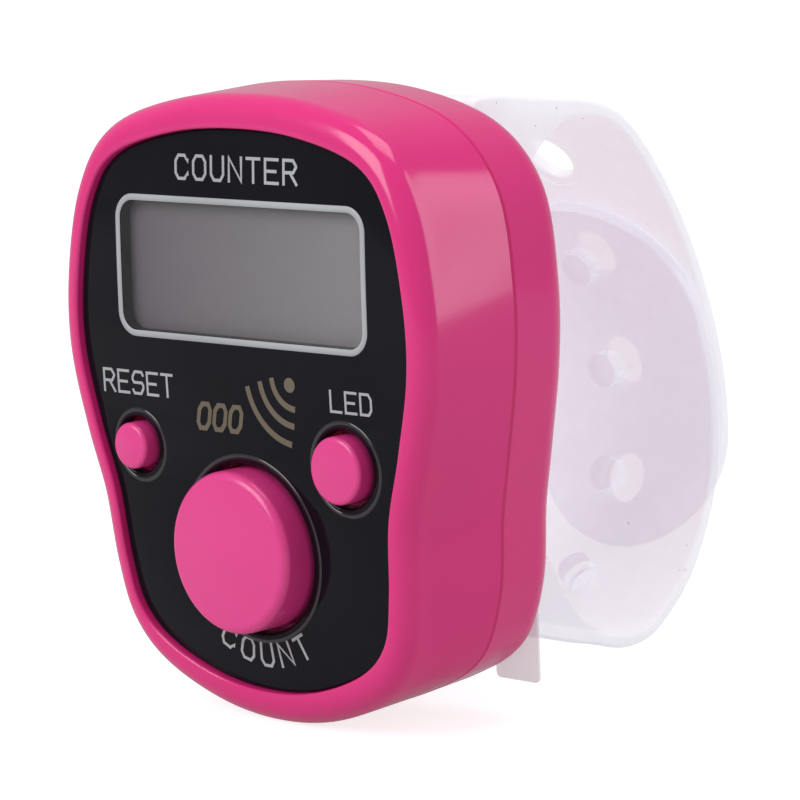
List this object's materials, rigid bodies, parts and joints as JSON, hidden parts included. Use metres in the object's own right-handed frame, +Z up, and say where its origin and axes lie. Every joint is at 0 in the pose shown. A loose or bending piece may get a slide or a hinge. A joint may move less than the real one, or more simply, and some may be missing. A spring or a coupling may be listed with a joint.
{
  "type": "finger tally counter",
  "caption": "Finger-worn digital tally counter: pear-shaped case with display window, push buttons, battery bay and a finger band that closes on studs.",
  "frame": {"origin": "centre of the battery door's flat rear face, which rests on the finger", "axes": "+X to the right seen from the front, +Y out of the back towards the finger band, +Z up the face, from the count button to the display"},
  "size_m": [0.0324, 0.0378, 0.039],
  "materials": {
    "shell_plastic": "glossy",
    "button_plastic": "satin",
    "panel_black": "glossy",
    "window_clear": "clear",
    "display_glass": "satin",
    "white_plastic": "matte",
    "elastomer": "matte",
    "board_green": "satin",
    "chip_black": "matte",
    "screw_steel": "satin",
    "cell_steel": "satin",
    "contact_brass": "satin",
    "strip_clear": "clear",
    "band_clear": "satin translucent"
  },
  "bodies": {
    "case": {"front_shell": "shell_plastic", "back_cover": "shell_plastic", "face_panel": "panel_black", "lcd_window": "window_clear", "lcd_holder": "white_plastic", "lcd_glass": "display_glass", "lcd_reflector": "white_plastic", "light_guide": "white_plastic", "backlight_led": "white_plastic", "elastomer_strip": "elastomer", "circuit_board": "board_green", "driver_chip": "chip_black", "board_parts": "chip_black", "count_switch": "chip_black", "reset_switch": "chip_black", "light_switch": "chip_black", "board_screws": "screw_steel", "case_screws": "screw_steel", "left_cell": "cell_steel", "right_cell": "cell_steel", "cell_contacts": "contact_brass", "buzzer_plate": "contact_brass", "buzzer_ceramic": "white_plastic", "buzzer_leads": "contact_brass", "upper_band_root": "band_clear", "lower_band_root": "band_clear"},
    "count_key": {"count_button": "button_plastic", "count_plunger": "white_plastic"},
    "reset_key": {"reset_button": "button_plastic", "reset_plunger": "white_plastic"},
    "light_key": {"light_button": "button_plastic", "light_plunger": "white_plastic"},
    "door": {"battery_door": "shell_plastic", "contact_bridge": "contact_brass"},
    "strip": {"pull_strip": "strip_clear"},
    "upper_tail": {"upper_band": "band_clear"},
    "lower_tail": {"lower_band": "band_clear"}
  },
  "joints": [
    {"name": "count_press", "type": "slide", "parent": "case", "child": "count_key", "axis": [0, 1, 0], "range_m": [0, 0.0006], "stiffness_N_per_m": 500, "springref_m": -0.0003},
    {"name": "reset_press", "type": "slide", "parent": "case", "child": "reset_key", "axis": [0, 1, 0], "range_m": [0, 0.0004], "stiffness_N_per_m": 500, "springref_m": -0.0002},
    {"name": "light_press", "type": "slide", "parent": "case", "child": "light_key", "axis": [0, 1, 0], "range_m": [0, 0.0004], "stiffness_N_per_m": 500, "springref_m": -0.0002},
    {"name": "battery_door_lift", "type": "slide", "parent": "case", "child": "door", "axis": [0, 1, 0], "range_m": [0, 0.006]},
    {"name": "pull_strip_slide", "type": "slide", "parent": "case", "child": "strip", "axis": [0, 0, -1], "range_m": [0, 0.0125]},
    {"name": "upper_band_peel", "type": "hinge", "parent": "case", "child": "upper_tail", "pos_m": [0, 0.01243, 0.01447], "axis": [1, 0, 0], "range_deg": [0, 50], "stiffness_Nm_per_rad": 0.004},
    {"name": "lower_band_flex", "type": "hinge", "parent": "case", "child": "lower_tail", "pos_m": [0, 0.0097, -0.01836], "axis": [1, 0, 0], "range_deg": [0, 12], "stiffness_Nm_per_rad": 0.004}
  ]
}
